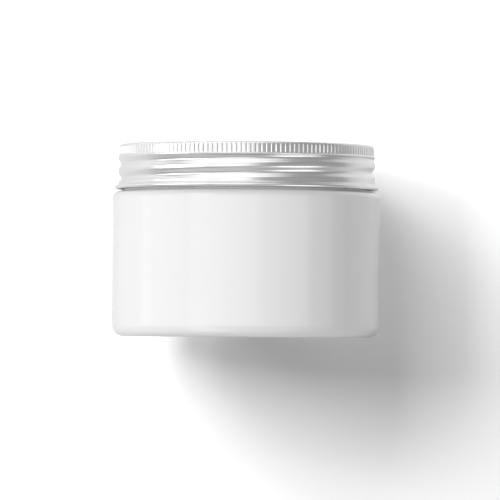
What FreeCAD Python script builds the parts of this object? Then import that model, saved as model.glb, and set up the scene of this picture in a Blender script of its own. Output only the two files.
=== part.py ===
import FreeCAD, Part
import os
import re
import Sketcher

# A wide cosmetic cream jar with a rolled aluminium screw lid. Millimetres, +Z up.
# The origin is the centre of the standing ring, and Z is the axis of the jar and of the screw thread.

SIZES = {
    # jar: one blown plastic piece
    "body_radius": 47.35,
    "body_corner": 4.2,
    "wall": 1.0,
    "ring_inner_radius": 38.5,
    "push_up": 1.8,
    "push_up_radius": 34.0,
    "shoulder_height": 51.3,
    "shoulder_corner": 2.4,
    "neck_radius": 43.2,
    "bore_radius": 41.5,
    "rim_height": 66.1,
    "rim_round": 0.4,
    # screw thread, right-handed, the same pitch on the neck and in the lid
    "thread_pitch": 5.08,
    "ridge_radius": 44.55,
    "ridge_foot": 2.6,
    "ridge_crest": 1.0,
    "ridge_start": 55.46,
    "ridge_turns": 1.5,
    # lid: one piece of thin aluminium sheet
    "total_height": 67.9,
    "gauge": 0.3,
    "lid_corner": 1.1,
    "grip_radius": 45.1,
    "grip_bottom": 64.0,
    "grip_step": 0.4,
    "skirt_radius": 45.37,
    "flare_radius": 0.83,
    "lid_radius": 46.66,
    "lid_bottom": 52.0,
    "curl_radius": 0.75,
    "curl_end": 150.0,
    "groove_round": 1.945,
    "groove_depth": 1.0,
    "groove_start": 155.0,
    "groove_turns": 1.6,
    "groove_height": 55.34,
    "groove_overrun": 0.5,
    "flute_count": 168,
    "flute_width": 0.5,
    "flute_depth": 0.2,
    "flute_margin": 0.15,
    # what the closed jar holds
    "liner_radius": 43.9,
    "disc_gap": 0.4,
    "disc_thickness": 0.6,
    "tab_width": 18.0,
    "tab_height": 4.5,
    "tab_thickness": 1.4,
    "fill_height": 52.0,
    "fill_gap": 0.1,
}

LEFT = 1
RIGHT = -1

doc = FreeCAD.newDocument("CreamJar")
sheet = doc.addObject("Spreadsheet::Sheet", "Sizes")
for row, (alias, size) in enumerate(SIZES.items(), start=1):
    sheet.set(f"A{row}", alias)
    sheet.set(f"B{row}", str(size))
    sheet.setAlias(f"B{row}", alias)
doc.recompute()


def sized(formula):
    """The formula with each size's name written as a reference to its cell."""
    return re.sub(r"[a-z_]+", lambda word: f"Sizes.{word[0]}" if word[0] in SIZES else word[0], formula)


def number(formula):
    return float(sheet.evalExpression(sized(formula)))


def new_body(name, height="0"):
    body = doc.addObject("PartDesign::Body", name)
    body.Label = name
    body.Placement = FreeCAD.Placement()
    body.setExpression("Placement.Base.z", sized(height))
    return body


def new_sketch(body, name, plane):
    sketch = body.newObject("Sketcher::SketchObject", name)
    origin = {feature.Role: feature for feature in body.Origin.OriginFeatures}
    sketch.AttachmentSupport = (origin[plane], "")
    sketch.MapMode = "FlatFace"
    return sketch


def arc_between(start, end, radius, turn):
    """The arc of under half a turn from start to end that curves to its left or right."""
    chord = end - start
    across = FreeCAD.Vector(-chord.y, chord.x, 0).normalize() * turn
    to_centre = (radius**2 - chord.Length**2 / 4) ** 0.5
    centre = (start + end) / 2 + across * to_centre
    return Part.Arc(start, centre - across * radius, end)


def outline(sketch, corners):
    """A closed outline. A corner is (across, up), or (across, up, arc radius, LEFT or RIGHT) where
    the side that leaves it is an arc. Every number in it is a formula of the sizes."""
    points = [FreeCAD.Vector(number(corner[0]), number(corner[1]), 0) for corner in corners]
    first_and_last = []
    for index, corner in enumerate(corners):
        start = points[index]
        end = points[(index + 1) % len(points)]
        if len(corner) == 2:
            side = sketch.addGeometry(Part.LineSegment(start, end))
            first_and_last.append((1, 2))
        else:
            side = sketch.addGeometry(arc_between(start, end, number(corner[2]), corner[3]))
            radius = sketch.addConstraint(Sketcher.Constraint("Radius", side, number(corner[2])))
            sketch.renameConstraint(radius, f"arc_{index}")
            sketch.setExpression(f"Constraints.arc_{index}", sized(corner[2]))
            first_and_last.append((1, 2) if corner[3] == LEFT else (2, 1))
    for index, corner in enumerate(corners):
        following = (index + 1) % len(corners)
        first, last = first_and_last[index]
        next_first = first_and_last[following][0]
        sketch.addConstraint(Sketcher.Constraint("Coincident", index, last, following, next_first))
        for kind, axis, formula in (("DistanceX", -2, corner[0]), ("DistanceY", -1, corner[1])):
            if formula == "0":
                sketch.addConstraint(Sketcher.Constraint("PointOnObject", index, first, axis))
                continue
            place = sketch.addConstraint(Sketcher.Constraint(kind, index, first, number(formula)))
            sketch.renameConstraint(place, f"{kind}_{index}")
            sketch.setExpression(f"Constraints.{kind}_{index}", sized(formula))


def revolve(body, name, corners):
    """A full turn of an outline of (radius, height) about the jar's axis."""
    sketch = new_sketch(body, f"{name}_outline", "XZ_Plane")
    outline(sketch, corners)
    feature = body.newObject("PartDesign::Revolution", name)
    feature.Profile = sketch
    feature.ReferenceAxis = (sketch, ["V_Axis"])
    feature.Angle = 360
    doc.recompute()
    return feature


def helix(body, kind, name, corners, start_angle, turns):
    """An outline of (radius, height) screwed about the jar's axis from a start angle, rising."""
    sketch = new_sketch(body, f"{name}_outline", "XZ_Plane")
    about_axis = FreeCAD.Rotation(FreeCAD.Vector(0, 1, 0), number(start_angle))
    sketch.AttachmentOffset = FreeCAD.Placement(FreeCAD.Vector(), about_axis)
    if start_angle != "0":
        sketch.setExpression("AttachmentOffset.Rotation.Angle", sized(start_angle))
    outline(sketch, corners)
    feature = body.newObject(f"PartDesign::{kind}Helix", name)
    feature.Profile = sketch
    feature.ReferenceAxis = (sketch, ["V_Axis"])
    feature.Mode = "pitch-turns-angle"
    feature.Angle = 0
    feature.Growth = 0
    feature.setExpression("Pitch", sized("thread_pitch"))
    feature.setExpression("Turns", sized(turns))
    doc.recompute()
    return feature


def round_pad(body, name, radius, thickness):
    """A flat disc that stands on the body's own base plane."""
    sketch = new_sketch(body, f"{name}_outline", "XY_Plane")
    circle = sketch.addGeometry(Part.Circle(FreeCAD.Vector(), FreeCAD.Vector(0, 0, 1), number(radius)))
    sketch.addConstraint(Sketcher.Constraint("Coincident", circle, 3, -1, 1))
    size = sketch.addConstraint(Sketcher.Constraint("Radius", circle, number(radius)))
    sketch.renameConstraint(size, "disc_radius")
    sketch.setExpression("Constraints.disc_radius", sized(radius))
    pad = body.newObject("PartDesign::Pad", name)
    pad.Profile = sketch
    pad.setExpression("Length", sized(thickness))
    doc.recompute()
    return pad


def expect_change(feature, before, adds):
    """A ridge must add material, and a groove must take some away."""
    change = feature.Shape.Volume - before
    least = 0.01
    if abs(change) < least or (change > 0) != adds:
        raise SystemExit(f"{feature.Label} changed the volume by {change:.3f}")


def make_jar_body():
    body = new_body("jar_body")
    floor = "push_up + wall"
    under_shoulder = "shoulder_height - wall"
    shell = revolve(body, "jar_wall", [
        ("0", "push_up"),
        ("push_up_radius", "push_up"),
        ("ring_inner_radius", "0"),
        ("body_radius - body_corner", "0", "body_corner", LEFT),
        ("body_radius", "body_corner"),
        ("body_radius", "shoulder_height - shoulder_corner", "shoulder_corner", LEFT),
        ("body_radius - shoulder_corner", "shoulder_height"),
        ("neck_radius", "shoulder_height"),
        ("neck_radius", "rim_height - rim_round", "rim_round", LEFT),
        ("neck_radius - rim_round", "rim_height"),
        ("bore_radius + rim_round", "rim_height", "rim_round", LEFT),
        ("bore_radius", "rim_height - rim_round"),
        ("bore_radius", under_shoulder),
        ("body_radius - shoulder_corner", under_shoulder, "shoulder_corner - wall", RIGHT),
        ("body_radius - wall", "shoulder_height - shoulder_corner"),
        ("body_radius - wall", "body_corner", "body_corner - wall", RIGHT),
        ("body_radius - body_corner", "wall"),
        ("ring_inner_radius", "wall"),
        ("push_up_radius", floor),
        ("0", floor),
    ])
    # the ridge's foot starts inside the neck's wall, so that the two are one solid
    foot_radius = "neck_radius - wall / 2"
    ridge = helix(body, "Additive", "neck_thread", [
        (foot_radius, "ridge_start - ridge_foot / 2"),
        ("neck_radius", "ridge_start - ridge_foot / 2"),
        ("ridge_radius", "ridge_start - ridge_crest / 2"),
        ("ridge_radius", "ridge_start + ridge_crest / 2"),
        ("neck_radius", "ridge_start + ridge_foot / 2"),
        (foot_radius, "ridge_start + ridge_foot / 2"),
    ], "0", "ridge_turns")
    expect_change(ridge, shell.Shape.Volume, adds=True)
    return body


def cut_flutes(body, before):
    """Narrow upright flutes all round the grip, which stop just short of its top and bottom. In plan each is
    a triangle whose point lies inside the sheet, drawn twice as deep as the flute so that it ends in the air.
    The first one lies beside the outline's plane, so that none crosses the seam of the turned face."""
    sketch = new_sketch(body, "flute_outline", "XY_Plane")
    sketch.setExpression("AttachmentOffset.Base.z", sized("grip_bottom + flute_margin"))
    outline(sketch, [
        ("grip_radius - flute_depth", "flute_width"),
        ("grip_radius + flute_depth", "0"),
        ("grip_radius + flute_depth", "flute_width * 2"),
    ])
    flute = body.newObject("PartDesign::Pocket", "flute")
    flute.Profile = sketch
    flute.Reversed = True
    flute.setExpression("Length", sized("total_height - lid_corner - grip_bottom - 2 * flute_margin"))
    doc.recompute()
    expect_change(flute, before, adds=False)
    flutes = body.newObject("PartDesign::PolarPattern", "flutes")
    flutes.Originals = [flute]
    flutes.Axis = (sketch, ["N_Axis"])
    flutes.Angle = 360
    flutes.setExpression("Occurrences", sized("flute_count"))
    body.Tip = flutes
    doc.recompute()


def make_lid_shell():
    """The sheet runs from the top's centre out over the edge, down the grip and the skirt, and ends in
    a flare that curls in under itself. The rolled thread bends the same sheet inwards."""
    body = new_body("lid_shell")
    curl_x = "(lid_radius - curl_radius)"
    curl_z = "(lid_bottom + curl_radius)"
    # the flare's arc and the curl's circle touch on the line between their centres
    span = "(flare_radius + curl_radius)"
    across = f"(skirt_radius + flare_radius - {curl_x})"
    rise = f"sqrt({span} ^ 2 - {across} ^ 2)"
    flare_z = f"{curl_z} + {rise}"
    inner_curl = "(curl_radius - gauge)"
    grip_top = "total_height - lid_corner"
    step_z = "grip_bottom - grip_step"
    sheet_metal = revolve(body, "rolled_sheet", [
        ("0", "total_height"),
        ("grip_radius - lid_corner", "total_height", "lid_corner", RIGHT),
        ("grip_radius", grip_top),
        ("grip_radius", "grip_bottom"),
        ("skirt_radius", step_z),
        ("skirt_radius", flare_z, "flare_radius", LEFT),
        (f"{curl_x} + {across} * curl_radius / {span}",
         f"{curl_z} + {rise} * curl_radius / {span}", "curl_radius", RIGHT),
        (curl_x, "lid_bottom", "curl_radius", RIGHT),
        (f"{curl_x} + curl_radius * cos(curl_end)", f"{curl_z} + curl_radius * sin(curl_end)"),
        (f"{curl_x} + {inner_curl} * cos(curl_end)",
         f"{curl_z} + {inner_curl} * sin(curl_end)", inner_curl, LEFT),
        (curl_x, "lid_bottom + gauge", inner_curl, LEFT),
        (f"{curl_x} + {across} * {inner_curl} / {span}",
         f"{curl_z} + {rise} * {inner_curl} / {span}", "flare_radius + gauge", RIGHT),
        ("skirt_radius - gauge", flare_z),
        ("skirt_radius - gauge", step_z),
        ("grip_radius - gauge", "grip_bottom"),
        ("grip_radius - gauge", grip_top, "lid_corner - gauge", LEFT),
        ("grip_radius - lid_corner", "total_height - gauge"),
        ("0", "total_height - gauge"),
    ])

    def rolled_arc(rounding, edge, height):
        """A circle's arc that bites into the skirt, closed by a straight edge at the given radius."""
        centre = "(skirt_radius - groove_depth + groove_round)"
        half = f"sqrt(({rounding}) ^ 2 - ({centre} - ({edge})) ^ 2)"
        return [(edge, f"{height} + {half}", rounding, LEFT), (edge, f"{height} - {half}")]

    # the sheet's inner face bulges a little before and after the groove, so that its ends stay closed
    early = "groove_height - thread_pitch * groove_overrun / 360"
    bulge = helix(body, "Additive", "thread_bulge",
                  rolled_arc("groove_round + gauge", "skirt_radius - gauge / 2", early),
                  "groove_start - groove_overrun", "groove_turns + groove_overrun / 180")
    expect_change(bulge, sheet_metal.Shape.Volume, adds=True)
    groove = helix(body, "Subtractive", "thread_groove",
                   rolled_arc("groove_round", "skirt_radius + gauge", "groove_height"),
                   "groove_start", "groove_turns")
    expect_change(groove, bulge.Shape.Volume, adds=False)
    cut_flutes(body, groove.Shape.Volume)
    return body


def make_lid_liner():
    """A foam disc that fills the space between the neck's rim and the lid's top."""
    body = new_body("lid_liner", "rim_height")
    round_pad(body, "foam_disc", "liner_radius", "total_height - gauge - rim_height")
    return body


def make_sealing_disc():
    """A loose plastic disc in the neck, lying on the cream, with an upright finger tab."""
    body = new_body("sealing_disc", "fill_height")
    round_pad(body, "disc", "bore_radius - disc_gap", "disc_thickness")
    sketch = new_sketch(body, "tab_outline", "XZ_Plane")
    sketch.setExpression("AttachmentOffset.Base.x", sized("-tab_width / 2"))
    tab_round = "((tab_width / 2) ^ 2 + tab_height ^ 2) / (2 * tab_height)"
    outline(sketch, [
        ("0", "disc_thickness / 2"),
        ("tab_width", "disc_thickness / 2"),
        ("tab_width", "disc_thickness", tab_round, LEFT),
        ("0", "disc_thickness"),
    ])
    tab = body.newObject("PartDesign::Pad", "finger_tab")
    tab.Profile = sketch
    tab.SideType = "Symmetric"
    tab.setExpression("Length", sized("tab_thickness"))
    doc.recompute()
    return body


def make_cream_fill():
    """The cream fills the jar up into the neck, a hair clear of the curved walls."""
    body = new_body("cream_fill")
    wall_radius = "body_radius - wall - fill_gap"
    floor = "wall + fill_gap"
    under_shoulder = "shoulder_height - wall - fill_gap"
    revolve(body, "cream", [
        ("0", "push_up + wall"),
        ("push_up_radius", "push_up + wall"),
        ("ring_inner_radius", floor),
        ("body_radius - body_corner", floor, "body_corner - wall - fill_gap", LEFT),
        (wall_radius, "body_corner"),
        (wall_radius, "shoulder_height - shoulder_corner", "shoulder_corner - wall - fill_gap", LEFT),
        ("body_radius - shoulder_corner", under_shoulder),
        ("bore_radius - fill_gap", under_shoulder),
        ("bore_radius - fill_gap", "fill_height"),
        ("0", "fill_height"),
    ])
    return body


sub_parts = [make_jar_body(), make_lid_shell(), make_lid_liner(), make_sealing_disc(), make_cream_fill()]
doc.recompute()

for thing in doc.Objects:
    if {"Invalid", "Error"} & set(thing.State):
        raise SystemExit(f"{thing.Label} failed: {thing.State}")
for sub_part in sub_parts:
    if sub_part.Shape.isNull() or not sub_part.Shape.isValid() or len(sub_part.Shape.Solids) != 1:
        raise SystemExit(f"{sub_part.Label} is not one valid solid")

os.makedirs("parts", exist_ok=True)
for sub_part in sub_parts:
    sub_part.Shape.exportStep(f"parts/{sub_part.Label}.step")
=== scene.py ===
import math

import bpy
import numpy as np
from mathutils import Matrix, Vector


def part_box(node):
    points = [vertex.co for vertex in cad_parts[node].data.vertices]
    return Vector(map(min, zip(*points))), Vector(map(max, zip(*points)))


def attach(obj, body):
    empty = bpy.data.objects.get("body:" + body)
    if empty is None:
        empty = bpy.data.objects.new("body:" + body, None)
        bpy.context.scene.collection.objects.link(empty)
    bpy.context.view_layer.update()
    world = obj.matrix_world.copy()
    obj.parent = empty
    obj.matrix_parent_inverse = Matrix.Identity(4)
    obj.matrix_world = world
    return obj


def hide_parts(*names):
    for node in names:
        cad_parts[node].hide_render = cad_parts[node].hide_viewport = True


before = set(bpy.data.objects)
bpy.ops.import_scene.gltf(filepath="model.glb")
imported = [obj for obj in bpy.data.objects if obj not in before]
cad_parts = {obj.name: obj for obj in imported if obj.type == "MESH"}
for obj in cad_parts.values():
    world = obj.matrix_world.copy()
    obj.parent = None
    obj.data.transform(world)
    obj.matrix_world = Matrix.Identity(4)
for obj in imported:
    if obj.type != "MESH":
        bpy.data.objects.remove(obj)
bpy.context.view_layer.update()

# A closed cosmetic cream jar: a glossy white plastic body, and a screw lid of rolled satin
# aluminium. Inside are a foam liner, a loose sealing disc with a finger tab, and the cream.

MM = 0.001
TINY = MM / 1000
TURN = 2 * math.pi
OUT, UP, IN, DOWN = 0.0, math.pi / 2, math.pi, -math.pi / 2  # directions on a profile

# places and outer sizes come from the frame
JAR_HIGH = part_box("jar_body")[1]
LID_LOW, LID_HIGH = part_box("lid_shell")
LINER_LOW, LINER_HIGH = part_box("lid_liner")
DISC_LOW, DISC_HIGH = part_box("sealing_disc")
CREAM_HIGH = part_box("cream_fill")[1]

# the jar's profile
BODY_RADIUS = 47.35 * MM
BODY_CORNER = 4.2 * MM
WALL = 1.0 * MM
RING_INNER_RADIUS = 38.5 * MM
PUSH_UP = 1.8 * MM
PUSH_UP_RADIUS = 34.0 * MM
SHOULDER_HEIGHT = 51.3 * MM
SHOULDER_CORNER = 2.4 * MM
NECK_RADIUS = 43.2 * MM
BORE_RADIUS = 41.5 * MM
RIM_HEIGHT = JAR_HIGH[2]
RIM_ROUND = 0.4 * MM

# the screw thread on the neck and in the lid
PITCH = 5.08 * MM
RIDGE_DEPTH = 1.35 * MM
RIDGE_FOOT = 2.6 * MM
RIDGE_CREST = 1.0 * MM
RIDGE_START = 55.46 * MM
RIDGE_TURNS = 1.5
RIDGE_FADE = 0.04

# the lid's sheet
GAUGE = 0.3 * MM
LID_TOP = LID_HIGH[2]
LID_BOTTOM = LID_LOW[2]
LID_RADIUS = 46.66 * MM
LID_CORNER = 1.1 * MM
GRIP_RADIUS = 45.1 * MM
GRIP_BOTTOM = 64.0 * MM
GRIP_STEP = 0.4 * MM  # the grip's lower edge slopes out to the skirt over this height
SKIRT_RADIUS = 45.37 * MM
FLARE_RADIUS = 0.83 * MM
CURL_RADIUS = 0.75 * MM
CURL_END = math.radians(150)
GROOVE_DEPTH = 0.95 * MM
GROOVE_WIDTH = 4.3 * MM
GROOVE_START = math.radians(155)
GROOVE_HEIGHT = 55.34 * MM
GROOVE_TURNS = 1.6
GROOVE_FADE = 0.07
GROOVE_TOP_FADE = 0.8 * MM
GROOVE_FLOOR = 2.3 * MM  # the groove stays this far above the curl's lower edge
GROOVE_FLOOR_FADE = 0.9 * MM
FLUTES = 168
FLUTE_DEPTH = 0.26 * MM
FLUTE_SHARE = 0.4  # of the distance from one flute to the next
FLUTE_TOP_FADE = 0.6 * MM
FLUTE_BOTTOM_FADE = 0.15 * MM
EDGE_HAIR = 0.05 * MM  # the grip ends this far below its nominal edge
FINE_FACTOR = 6  # points round the grip for each point round the rest of the lid

# the liner, the loose disc and the cream under it
DISC_THICKNESS = 0.6 * MM
DISC_ROUND = 0.2 * MM
RING_OUTER = 37.5 * MM
RING_INNER = 35.0 * MM
RING_DEPTH = 0.15 * MM
TAB_WIDTH = 18.0 * MM
TAB_THICKNESS = 1.4 * MM
TAB_ROUND = 0.35 * MM
LINER_ROUND = 0.25 * MM
FILL_GAP = 0.1 * MM
CREAM_DIP = 0.6 * MM


# ---------------------------------------------------------------- mesh making

def arc(centre, radius, start, end, steps):
    """Points (radius, height) along an arc, both ends included; angles in radians from outwards."""
    angles = np.linspace(start, end, steps + 1)
    return [(centre[0] + radius * math.cos(a), centre[1] + radius * math.sin(a)) for a in angles]


def line(start, end, steps):
    """Points from start up to but not including end."""
    return [tuple(np.add(start, np.subtract(end, start) * (i / steps))) for i in range(steps)]


def smooth_step(value):
    value = np.clip(value, 0, 1)
    return value * value * (3 - 2 * value)


def turned(name, profile, segments, relief=None, fine=None):
    """A closed surface turned about Z from a profile that starts and ends on the axis.

    relief(angles, radius, height, is_fine) gives how far each point of a ring moves inwards. fine
    is (first row, last row, factor): those rows have factor times as many points round the ring.
    """
    vertices = []
    rings = []
    for row, (radius, height) in enumerate(profile):
        if radius < TINY:
            rings.append((len(vertices), 1))
            vertices.append((0, 0, height))
            continue
        factor = fine[2] if fine and fine[0] <= row <= fine[1] else 1
        count = segments * factor
        angles = np.arange(count) * TURN / count
        radii = np.full(count, radius)
        if relief:
            radii = radii - relief(angles, radius, height, factor > 1)
        rings.append((len(vertices), count))
        vertices.extend(zip(radii * np.cos(angles), radii * np.sin(angles), np.full(count, height)))
    faces = []
    for (lower, lower_count), (upper, upper_count) in zip(rings, rings[1:]):
        faces.extend(band(lower, lower_count, upper, upper_count))
    mesh = bpy.data.meshes.new(name)
    mesh.from_pydata(vertices, [], faces)
    mesh.validate()
    mesh.update()
    return shaded(name, mesh)


def band(lower, lower_count, upper, upper_count):
    """The faces between two rings. One may be a single point, or have a multiple of the points."""
    count = min(lower_count, upper_count)
    if count == 1:
        opens = lower_count == 1
        ring, size, tip = (upper, upper_count, lower) if opens else (lower, lower_count, upper)
        for i in range(size):
            pair = (ring + i, ring + (i + 1) % size)
            yield (tip, pair[1], pair[0]) if opens else (tip, pair[0], pair[1])
        return
    below = lower_count // count
    above = upper_count // count
    for i in range(count):
        first = [lower + (i * below + k) % lower_count for k in range(below + 1)]
        second = [upper + (i * above + k) % upper_count for k in range(above + 1)]
        yield (*first, *reversed(second))


def shaded(name, mesh):
    """An object with smooth shading, but with its real edges sharp."""
    mesh.shade_smooth()
    mesh.set_sharp_from_angle(angle=math.radians(35))
    piece = bpy.data.objects.new(name, mesh)
    bpy.context.scene.collection.objects.link(piece)
    return piece


def helix_distance(angles, height, start_height, start_angle, turns):
    """For each angle, the signed height above the nearest turn of a helix, and the turns so far."""
    best = np.full(len(angles), np.inf)
    so_far = np.zeros(len(angles))
    for turn in range(-1, int(turns) + 2):
        run = (angles - start_angle) / TURN + turn
        distance = height - (start_height + PITCH * run)
        better = (run >= 0) & (run <= turns) & (np.abs(distance) < np.abs(best))
        best = np.where(better, distance, best)
        so_far = np.where(better, run, so_far)
    return best, so_far


def ends_fade(run, turns, fade):
    """From 0 at both ends of a helix to 1 along it; run, turns and fade are in turns."""
    return smooth_step(run / fade) * smooth_step((turns - run) / fade)


# ---------------------------------------------------------------- materials

class Nodes:
    """A material's node tree, with short ways to add nodes and to link them."""

    def __init__(self, name, **principled):
        self.material = bpy.data.materials.new(name)
        self.material.use_nodes = True
        self.tree = self.material.node_tree
        self.shader = self.tree.nodes["Principled BSDF"]
        for socket, value in principled.items():
            self.shader.inputs[socket.replace("_", " ")].default_value = value

    def add(self, kind, inputs=None, **settings):
        node = self.tree.nodes.new(f"ShaderNode{kind}")
        for setting, value in settings.items():
            setattr(node, setting, value)
        for socket, value in (inputs or {}).items():
            if isinstance(value, bpy.types.NodeSocket):
                self.tree.links.new(value, node.inputs[socket])
            else:
                node.inputs[socket].default_value = value
        return node

    def stretched(self, stretch):
        place = self.add("TexCoord").outputs["Object"]
        return self.add("Mapping", {"Vector": place, "Scale": stretch}).outputs["Vector"]

    def noise(self, vector, scale, detail):
        inputs = {"Vector": vector, "Scale": scale, "Detail": detail}
        return self.add("TexNoise", inputs).outputs["Fac"]

    def spread(self, value, low, high):
        """A noise value, mostly between 0.3 and 0.7, spread from low to high."""
        return self.add("MapRange", {0: value, 1: 0.3, 2: 0.7, 3: low, 4: high}).outputs[0]

    def bump(self, height, strength, distance):
        inputs = {"Height": height, "Strength": strength, "Distance": distance}
        return self.add("Bump", inputs).outputs["Normal"]

    def link(self, value, socket):
        self.tree.links.new(value, self.shader.inputs[socket])


def white_plastic():
    """Glossy blown plastic: a faint unevenness from the mould, and slightly duller patches."""
    m = Nodes("white_plastic", Base_Color=(0.8, 0.8, 0.8, 1), IOR=1.5)
    wide = m.noise(m.stretched((1, 1, 1)), 60, 2)
    m.link(m.spread(wide, 0.12, 0.16), "Roughness")
    m.link(m.bump(m.noise(m.stretched((1, 1, 0.4)), 220, 2), 0.08, 0.0002), "Normal")
    return m.material


def lid_aluminium():
    """Satin rolled sheet: fine upright drawing lines on the skirt, an even grain on the top."""
    m = Nodes("lid_aluminium", Base_Color=(0.76, 0.76, 0.76, 1), Metallic=1.0)
    grain = m.noise(m.stretched((1, 1, 0.08)), 2600, 2)
    cloud = m.noise(m.stretched((1, 1, 1)), 90, 3)
    m.link(m.spread(cloud, 0.29, 0.34), "Roughness")
    m.link(m.bump(grain, 0.15, 0.00005), "Normal")
    return m.material


def foam():
    """Closed-cell foam sheet: small round cells, matt."""
    m = Nodes("foam", Base_Color=(0.85, 0.85, 0.84, 1), Roughness=0.8)
    place = m.stretched((1, 1, 1))
    cells = m.add("TexVoronoi", {"Vector": place, "Scale": 1400}).outputs["Distance"]
    m.link(m.bump(cells, 0.5, 0.0002), "Normal")
    return m.material


def clear_plastic():
    """Thin milky polyethylene."""
    m = Nodes("clear_plastic", Base_Color=(0.84, 0.86, 0.87, 1), IOR=1.5)
    m.shader.inputs["Transmission Weight"].default_value = 0.35
    wide = m.noise(m.stretched((1, 1, 1)), 120, 3)
    m.link(m.spread(wide, 0.3, 0.42), "Roughness")
    m.link(m.bump(wide, 0.1, 0.0003), "Normal")
    return m.material


def cream():
    """Rich white cream, softly shiny and a little uneven."""
    m = Nodes("cream", Base_Color=(0.86, 0.83, 0.77, 1), IOR=1.45)
    m.shader.inputs["Subsurface Weight"].default_value = 0.3
    m.shader.inputs["Subsurface Scale"].default_value = 0.002
    folds = m.noise(m.stretched((1, 1, 1)), 70, 2)
    m.link(m.spread(folds, 0.25, 0.4), "Roughness")
    m.link(m.bump(folds, 0.3, 0.001), "Normal")
    return m.material


# ---------------------------------------------------------------- pieces

def finish_piece(piece, body, material, node):
    """The piece gets its material and rides on its body; its CAD node is hidden."""
    piece.data.materials.append(material)
    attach(piece, body)
    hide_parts(node)


def neck_ridge(angles, radius, height, _is_fine):
    """The screw thread stands out of the neck, with sloping flanks and tapered ends."""
    if abs(radius - NECK_RADIUS) > TINY or height < SHOULDER_HEIGHT:
        return np.zeros(len(angles))
    distance, run = helix_distance(angles, height, RIDGE_START, 0.0, RIDGE_TURNS)
    flank = (RIDGE_FOOT / 2 - np.abs(distance)) / (RIDGE_FOOT / 2 - RIDGE_CREST / 2)
    return -RIDGE_DEPTH * smooth_step(flank) * ends_fade(run, RIDGE_TURNS, RIDGE_FADE)


def make_jar():
    corner = (BODY_RADIUS - BODY_CORNER, BODY_CORNER)
    shoulder = (BODY_RADIUS - SHOULDER_CORNER, SHOULDER_HEIGHT - SHOULDER_CORNER)
    profile = [
        (0, PUSH_UP),
        *line((PUSH_UP_RADIUS / 4, PUSH_UP), (PUSH_UP_RADIUS, PUSH_UP), 6),
        *line((PUSH_UP_RADIUS, PUSH_UP), (RING_INNER_RADIUS, 0), 4),
        *line((RING_INNER_RADIUS, 0), (corner[0], 0), 3),
        *arc(corner, BODY_CORNER, DOWN, OUT, 18),
        *line((BODY_RADIUS, BODY_CORNER + MM), (BODY_RADIUS, shoulder[1] - MM), 24),
        *arc(shoulder, SHOULDER_CORNER, OUT, UP, 14),
        *line((shoulder[0] - 0.4 * MM, SHOULDER_HEIGHT), (NECK_RADIUS, SHOULDER_HEIGHT), 2),
        *line((NECK_RADIUS, SHOULDER_HEIGHT), (NECK_RADIUS, RIM_HEIGHT - RIM_ROUND), 96),
        *arc((NECK_RADIUS - RIM_ROUND, RIM_HEIGHT - RIM_ROUND), RIM_ROUND, OUT, UP, 6),
        *arc((BORE_RADIUS + RIM_ROUND, RIM_HEIGHT - RIM_ROUND), RIM_ROUND, UP, IN, 6),
        *line((BORE_RADIUS, RIM_HEIGHT - MM), (BORE_RADIUS, SHOULDER_HEIGHT - WALL), 8),
        *line((BORE_RADIUS, SHOULDER_HEIGHT - WALL), (shoulder[0], SHOULDER_HEIGHT - WALL), 2),
        *arc(shoulder, SHOULDER_CORNER - WALL, UP, OUT, 8),
        *arc(corner, BODY_CORNER - WALL, OUT, DOWN, 10),
        *line((RING_INNER_RADIUS, WALL), (PUSH_UP_RADIUS, PUSH_UP + WALL), 3),
        (PUSH_UP_RADIUS, PUSH_UP + WALL),
        (0, PUSH_UP + WALL),
    ]
    piece = turned("jar_body_visual", profile, 384, neck_ridge)
    finish_piece(piece, "jar", white_plastic(), "jar_body")


def lid_relief(angles, radius, height, is_grip):
    """How far the sheet is pressed in: by the grip's upright flutes, and by the rolled thread."""
    if is_grip:
        phase = angles * FLUTES / TURN
        from_middle = np.abs(phase - np.round(phase)) / (FLUTE_SHARE / 2)
        below_top = smooth_step((LID_TOP - FLUTE_TOP_FADE - height) / FLUTE_TOP_FADE)
        above_step = smooth_step((height - GRIP_BOTTOM + EDGE_HAIR) / FLUTE_BOTTOM_FADE)
        return FLUTE_DEPTH * smooth_step(1 - from_middle) * below_top * above_step
    if radius < SKIRT_RADIUS - 2 * GAUGE or height > GRIP_BOTTOM + MM:
        return np.zeros(len(angles))
    distance, run = helix_distance(angles, height, GROOVE_HEIGHT, GROOVE_START, GROOVE_TURNS)
    across = np.clip(np.abs(distance) / (GROOVE_WIDTH / 2), 0, 1)
    bowl = 0.5 + 0.5 * np.cos(np.pi * across)
    below_step = smooth_step((GRIP_BOTTOM - GRIP_STEP - height) / GROOVE_TOP_FADE)
    above_curl = smooth_step((height - LID_BOTTOM - GROOVE_FLOOR) / GROOVE_FLOOR_FADE)
    fade = ends_fade(run, GROOVE_TURNS, GROOVE_FADE)
    return GROOVE_DEPTH * bowl * below_step * above_curl * fade


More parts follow.
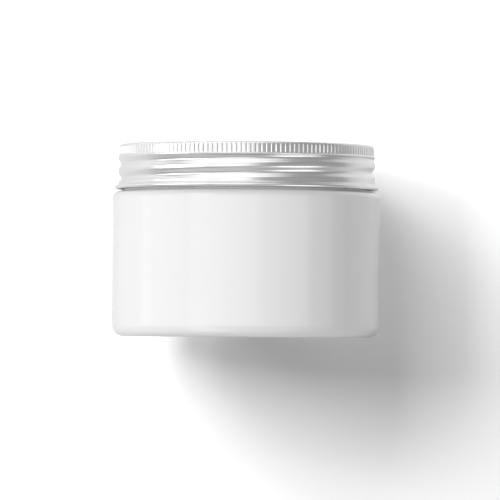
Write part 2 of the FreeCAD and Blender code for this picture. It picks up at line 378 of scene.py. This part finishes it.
def make_lid():
    curl = (LID_RADIUS - CURL_RADIUS, LID_BOTTOM + CURL_RADIUS)
    across = SKIRT_RADIUS + FLARE_RADIUS - curl[0]
    rise = math.sqrt((FLARE_RADIUS + CURL_RADIUS) ** 2 - across**2)
    flare = (SKIRT_RADIUS + FLARE_RADIUS, curl[1] + rise)
    touch = math.atan2(rise, across)
    edge = (GRIP_RADIUS - LID_CORNER, LID_TOP - LID_CORNER)
    step = GRIP_BOTTOM - GRIP_STEP
    grip_end = (GRIP_RADIUS, GRIP_BOTTOM - EDGE_HAIR)

    top = [(0, LID_TOP), *line((edge[0] / 8, LID_TOP), (edge[0], LID_TOP), 10)]
    rounding = arc(edge, LID_CORNER, UP, OUT, 12)
    grip = line((GRIP_RADIUS, edge[1] - 0.2 * MM), grip_end, 14)
    profile = [
        *top,
        *rounding,
        *grip,
        *line(grip_end, (SKIRT_RADIUS, step), 4),
        *line((SKIRT_RADIUS, step), (SKIRT_RADIUS, flare[1]), 84),
        *arc(flare, FLARE_RADIUS, IN, IN + touch, 10)[:-1],
        *arc(curl, CURL_RADIUS, touch, CURL_END - TURN, 36),
        *arc(curl, CURL_RADIUS - GAUGE, CURL_END - TURN, touch, 28),
        *arc(flare, FLARE_RADIUS + GAUGE, IN + touch, IN, 10)[1:],
        *line((SKIRT_RADIUS - GAUGE, flare[1] + 0.1 * MM), (SKIRT_RADIUS - GAUGE, step), 84),
        *line((SKIRT_RADIUS - GAUGE, step), (GRIP_RADIUS - GAUGE, GRIP_BOTTOM), 3),
        *line((GRIP_RADIUS - GAUGE, GRIP_BOTTOM), (GRIP_RADIUS - GAUGE, edge[1]), 3),
        *arc(edge, LID_CORNER - GAUGE, OUT, UP, 8),
        (edge[0] / 2, LID_TOP - GAUGE),
        (0, LID_TOP - GAUGE),
    ]
    # faces look outwards when a profile starts at its lower end; the rows of the grip are fine
    profile.reverse()
    last = len(profile) - 1
    first_fine = last - len(top) - len(rounding) - len(grip)
    last_fine = last - len(top) - 3
    fine = (first_fine, last_fine, FINE_FACTOR)
    piece = turned("lid_shell_visual", profile, FLUTES * 2, lid_relief, fine)
    finish_piece(piece, "lid", lid_aluminium(), "lid_shell")
    return piece


def make_liner():
    """A flat foam disc with rounded edges."""
    low, high, radius = LINER_LOW[2], LINER_HIGH[2], LINER_HIGH[0]
    flat = radius - LINER_ROUND
    profile = [
        (0, low),
        *line((radius / 12, low), (flat, low), 24),
        *arc((flat, low + LINER_ROUND), LINER_ROUND, DOWN, OUT, 5),
        *arc((flat, high - LINER_ROUND), LINER_ROUND, OUT, UP, 5),
        *reversed(line((radius / 12, high), (flat, high), 24)),
        (0, high),
    ]
    piece = turned("lid_liner_visual", profile, 192)
    finish_piece(piece, "lid_carrier", foam(), "lid_liner")


def make_disc():
    """The loose disc with a shallow sunk ring, and its upright half-moon tab."""
    low, high = DISC_LOW[2], DISC_LOW[2] + DISC_THICKNESS
    edge, sunk = DISC_HIGH[0] - DISC_ROUND, high - RING_DEPTH
    profile = [
        (0, low),
        *line((edge / 12, low), (edge, low), 12),
        *arc((edge, low + DISC_ROUND), DISC_ROUND, DOWN, OUT, 4),
        *arc((edge, high - DISC_ROUND), DISC_ROUND, OUT, UP, 4),
        *line((RING_OUTER, high), (RING_OUTER - RING_DEPTH, sunk), 3),
        *line((RING_OUTER - RING_DEPTH, sunk), (RING_INNER + RING_DEPTH, sunk), 3),
        *line((RING_INNER + RING_DEPTH, sunk), (RING_INNER, high), 3),
        *line((RING_INNER, high), (RING_INNER / 12, high), 12),
        (0, high),
    ]
    material = clear_plastic()
    disc = turned("sealing_disc_visual", profile, 192)
    finish_piece(disc, "disc", material, "sealing_disc")

    # the tab's outline is an arc over a short upright foot that stands in the disc
    half, rise = TAB_WIDTH / 2, DISC_HIGH[2] - high
    tab_round = (half**2 + rise**2) / (2 * rise)
    reach = math.asin(half / tab_round)
    top = [(tab_round * math.sin(a), high + rise - tab_round * (1 - math.cos(a)))
           for a in np.linspace(-reach, reach, 33)]
    outline = [(half, high - DISC_THICKNESS / 2), (-half, high - DISC_THICKNESS / 2), *top]
    count = len(outline)
    vertices = [(x, side * TAB_THICKNESS / 2, z) for side in (-1, 1) for x, z in outline]
    faces = [tuple(range(count - 1, -1, -1)), tuple(range(count, 2 * count))]
    faces.extend((i, (i + 1) % count, count + (i + 1) % count, count + i) for i in range(count))
    mesh = bpy.data.meshes.new("finger_tab_visual")
    mesh.from_pydata(vertices, [], faces)
    tab = shaded("finger_tab_visual", mesh)
    rounding = tab.modifiers.new("rounding", "BEVEL")
    rounding.width = TAB_ROUND
    rounding.segments = 3
    finish_piece(tab, "disc", material, "sealing_disc")


def make_cream():
    """The fill keeps off the walls by a hair; its top has settled a little unevenly."""
    wall = BODY_RADIUS - WALL - FILL_GAP
    corner = (BODY_RADIUS - BODY_CORNER, BODY_CORNER)
    floor, top, neck = WALL + FILL_GAP, CREAM_HIGH[2], BORE_RADIUS - FILL_GAP
    ceiling = SHOULDER_HEIGHT - WALL - FILL_GAP
    profile = [
        (0, PUSH_UP + WALL),
        (PUSH_UP_RADIUS, PUSH_UP + WALL),
        *line((RING_INNER_RADIUS, floor), (corner[0], floor), 2),
        *arc(corner, wall - corner[0], DOWN, OUT, 8),
        *line((wall, 8 * MM), (wall, ceiling - 4 * MM), 8),
        *arc((wall - 2 * MM, ceiling - 2 * MM), 2 * MM, OUT, UP, 6),
        (neck, ceiling),
        *reversed(line((neck / 40, top), (neck, top), 39)),
        (0, top),
    ]
    piece = turned("cream_visual", profile, 192)
    for vertex in piece.data.vertices:
        x, y, z = vertex.co
        if z > top - MM / 10:
            # from -1.5 to 1.5, so that the top lies from no dip to the whole dip
            swell = math.sin(x * 190 + 1) * math.cos(y * 150 + x * 60)
            swell += 0.5 * math.sin(x * 90 - y * 330)
            vertex.co.z = top - CREAM_DIP * (0.5 + swell / 3)
    finish_piece(piece, "jar", cream(), "cream_fill")


# ---------------------------------------------------------------- studio

JAR_MIDDLE = Vector((0, 0, LID_HIGH[2] / 2))

# the camera: straight in front, as low as the jar's foot, looking a little up, with a long lens
SHOT_ASIDE = 1.6 * MM
SHOT_DISTANCE = 1.93
SHOT_HEIGHT = -0.5 * MM
AIM_UP = math.radians(0.929)
SHOT_TILT = math.radians(0.38)
LENS = 393.0

# the surface behind the jar, and the floor
SURFACE_BACK = BODY_RADIUS + 0.4 * MM
SURFACE_BOTTOM, SURFACE_TOP = -1.2, 1.4
SURFACE_LEFT, SURFACE_RIGHT = -0.7, 0.414
MIRRORED_LEFT = -0.45
FLOOR_REACH = 3.0
PALE_TONE = 0.85
DIM_TONE = 0.5
FAR_TONE = 0.64
FLOOR_GLOW = 0.5

# the air gives this much light, and looks this pale
AIR_LIGHT = 0.35
AIR_TONE = 0.9

LIGHT_DISTANCE = 1.2

# what lights the surface: place and size in metres, power in watts
PAPER_LIGHTS = (
    ("paper_side", (-0.785, 0.045, 0.429), (0.25, 0.25), 11.0),
    ("paper_high", (-0.53, -0.126, 0.586), (0.36, 0.36), 4.9),
    ("paper_low", (-0.46, -0.63, 0.22), (0.32, 0.26), 4.7),
    ("paper_front", (-0.28, -0.62, 0.45), (0.5, 0.3), 4.4),
    ("paper_fill", (0, -1.5, 0.03), (3.0, 3.0), 4.2),
)
# what lights the lid, and what lights the rest: azimuth and elevation in degrees, size, power
LID_LIGHTS = (
    ("metal_key", -20, 40, (1.1, 0.8), 2.6),
    ("metal_left", -63, 10, (1.0, 0.5), 5.2),
    ("metal_front", -12, 4, (0.8, 0.4), 1.6),
    ("metal_low_right", 50, -30, (0.9, 0.7), 3.4),
    ("metal_low_left", -40, -55, (1.6, 0.7), 1.4),
    ("metal_top", -20, 66, (1.6, 0.5), 3.0),
)
JAR_LIGHTS = (
    ("jar_side", -115, 0, (1.1, 0.6), 3.9),
    ("jar_left", -71, 0, (0.84, 0.6), 2.5),
    ("jar_front", -20, 0, (1.38, 0.42), 4.1),
    ("jar_right", 32, 0, (1.0, 0.42), 1.9),
    ("jar_far", 67, 0, (0.5, 0.42), 0.3),
    ("jar_high", -40, 20, (0.42, 0.42), 2.1),
    ("jar_low", -40, -40, (0.42, 1.2), 2.8),
    ("jar_back", 150, 25, (1.2, 0.8), 9.0),
)


def area_light(name, place, size, energy, receivers):
    """A soft rectangular light that looks at the jar's middle and lights only its receivers."""
    light = bpy.data.lights.new(name, "AREA")
    light.shape = "RECTANGLE"
    light.size, light.size_y = size
    light.energy = energy
    lamp = bpy.data.objects.new(name, light)
    lamp.location = place
    lamp.rotation_euler = (JAR_MIDDLE - Vector(place)).to_track_quat("-Z", "Y").to_euler()
    lamp.visible_camera = False
    lamp.light_linking.receiver_collection = receivers
    bpy.context.scene.collection.objects.link(lamp)


def soft_light(name, azimuth, elevation, size, energy, receivers):
    """A light on a sphere round the jar, in degrees: azimuth 0 is in front, 90 to the right."""
    a, e = math.radians(azimuth), math.radians(elevation)
    way = Vector((math.sin(a) * math.cos(e), -math.cos(a) * math.cos(e), math.sin(e)))
    area_light(name, JAR_MIDDLE + LIGHT_DISTANCE * way, size, energy, receivers)


def light_group(name, surfaces, link_state):
    """A group of light receivers: the surfaces alone (INCLUDE), or all but them (EXCLUDE)."""
    group = bpy.data.collections.new(name)
    for index, surface in enumerate(surfaces):
        group.objects.link(surface)
        group.collection_objects[index].light_linking.link_state = link_state
    return group


def one_sided(name, tone, glow=0.0):
    """A diffuse material that is clear when seen from behind, and may glow evenly."""
    material = bpy.data.materials.new(name)
    material.use_nodes = True
    tree = material.node_tree
    tree.nodes.clear()
    output = tree.nodes.new("ShaderNodeOutputMaterial")
    mix = tree.nodes.new("ShaderNodeMixShader")
    paper = tree.nodes.new("ShaderNodeBsdfDiffuse")
    clear = tree.nodes.new("ShaderNodeBsdfTransparent")
    facing = tree.nodes.new("ShaderNodeNewGeometry")
    paper.inputs["Color"].default_value = (tone, tone, tone, 1)
    lit = tree.nodes.new("ShaderNodeAddShader")
    even = tree.nodes.new("ShaderNodeEmission")
    even.inputs["Strength"].default_value = glow
    tree.links.new(paper.outputs[0], lit.inputs[0])
    tree.links.new(even.outputs[0], lit.inputs[1])
    tree.links.new(facing.outputs["Backfacing"], mix.inputs[0])
    tree.links.new(lit.outputs[0], mix.inputs[1])
    tree.links.new(clear.outputs[0], mix.inputs[2])
    tree.links.new(mix.outputs[0], output.inputs[0])
    return material


def plane(name, corners, material):
    """A sheet of the studio, not attached to any body of the object."""
    mesh = bpy.data.meshes.new(name)
    mesh.from_pydata(corners, [], [(0, 1, 2, 3)])
    mesh.materials.append(material)
    sheet = bpy.data.objects.new(name, mesh)
    bpy.context.scene.collection.objects.link(sheet)
    return sheet


def upright(name, left, right, material):
    """A stretch of the surface behind the jar."""
    y, low, high = SURFACE_BACK, SURFACE_BOTTOM, SURFACE_TOP
    corners = [(left, y, low), (right, y, low), (right, y, high), (left, y, high)]
    return plane(name, corners, material)


def unseen_by(thing, *rays):
    for ray in rays:
        setattr(thing, f"visible_{ray}", False)


def make_studio(lid):
    scene = bpy.context.scene
    scene.view_settings.view_transform = "Standard"
    world = bpy.data.worlds.new("studio")
    scene.world = world
    world.use_nodes = True
    tree = world.node_tree
    air = tree.nodes["Background"]
    air.inputs["Color"].default_value = (1, 1, 1, 1)
    air.inputs["Strength"].default_value = AIR_LIGHT
    # a camera sees the background paler than the light that it gives
    pale = tree.nodes.new("ShaderNodeBackground")
    pale.inputs["Color"].default_value = (AIR_TONE, AIR_TONE, AIR_TONE, 1)
    seen = tree.nodes.new("ShaderNodeLightPath")
    mix = tree.nodes.new("ShaderNodeMixShader")
    tree.links.new(seen.outputs["Is Camera Ray"], mix.inputs[0])
    tree.links.new(air.outputs[0], mix.inputs[1])
    tree.links.new(pale.outputs[0], mix.inputs[2])
    tree.links.new(mix.outputs[0], tree.nodes["World Output"].inputs[0])

    # the pale surface behind the jar, which takes its soft shadow
    pale_surface = one_sided("pale_surface", PALE_TONE)
    wall = upright("surface", SURFACE_LEFT, SURFACE_RIGHT, pale_surface)
    unseen_by(wall, "diffuse", "glossy", "shadow")
    # the same surface as the jar and its lid reflect it, dimmer so that their sides don't burn out
    dim_surface = one_sided("dim_surface", DIM_TONE)
    dim_side = upright("surface_mirrored_left", MIRRORED_LEFT, 0, dim_surface)
    far_surface = one_sided("far_surface", FAR_TONE)
    far_side = upright("surface_mirrored_right", 0, SURFACE_RIGHT, far_surface)
    for side in (dim_side, far_side):
        unseen_by(side, "camera", "diffuse", "transmission", "shadow")
    # the floor that the jar stands on, seen only from above
    r = FLOOR_REACH
    corners = [(-r, -r, 0), (r, -r, 0), (r, r, 0), (-r, r, 0)]
    floor = plane("floor", corners, one_sided("pale_floor", PALE_TONE, FLOOR_GLOW))
    unseen_by(floor, "diffuse", "glossy", "transmission", "shadow")
    papers = (wall, dim_side, far_side, floor)

    paper_only = light_group("paper_only", papers, "INCLUDE")
    for light in PAPER_LIGHTS:
        area_light(*light, paper_only)
    metal_only = light_group("metal_only", (lid,), "INCLUDE")
    for light in LID_LIGHTS:
        soft_light(*light, metal_only)
    jar_only = light_group("jar_only", (*papers, lid), "EXCLUDE")
    for light in JAR_LIGHTS:
        soft_light(*light, jar_only)


def make_camera():
    camera = bpy.data.cameras.new("camera")
    camera.lens = LENS
    camera.clip_end = 20
    camera.clip_start = 0.05
    shot = bpy.data.objects.new("camera", camera)
    shot.location = (SHOT_ASIDE, -SHOT_DISTANCE, SHOT_HEIGHT)
    shot.rotation_euler = (math.pi / 2 + AIM_UP, -SHOT_TILT, 0)
    bpy.context.scene.collection.objects.link(shot)
    bpy.context.scene.camera = shot


make_camera()
make_jar()
make_studio(make_lid())
make_liner()
make_disc()
make_cream()
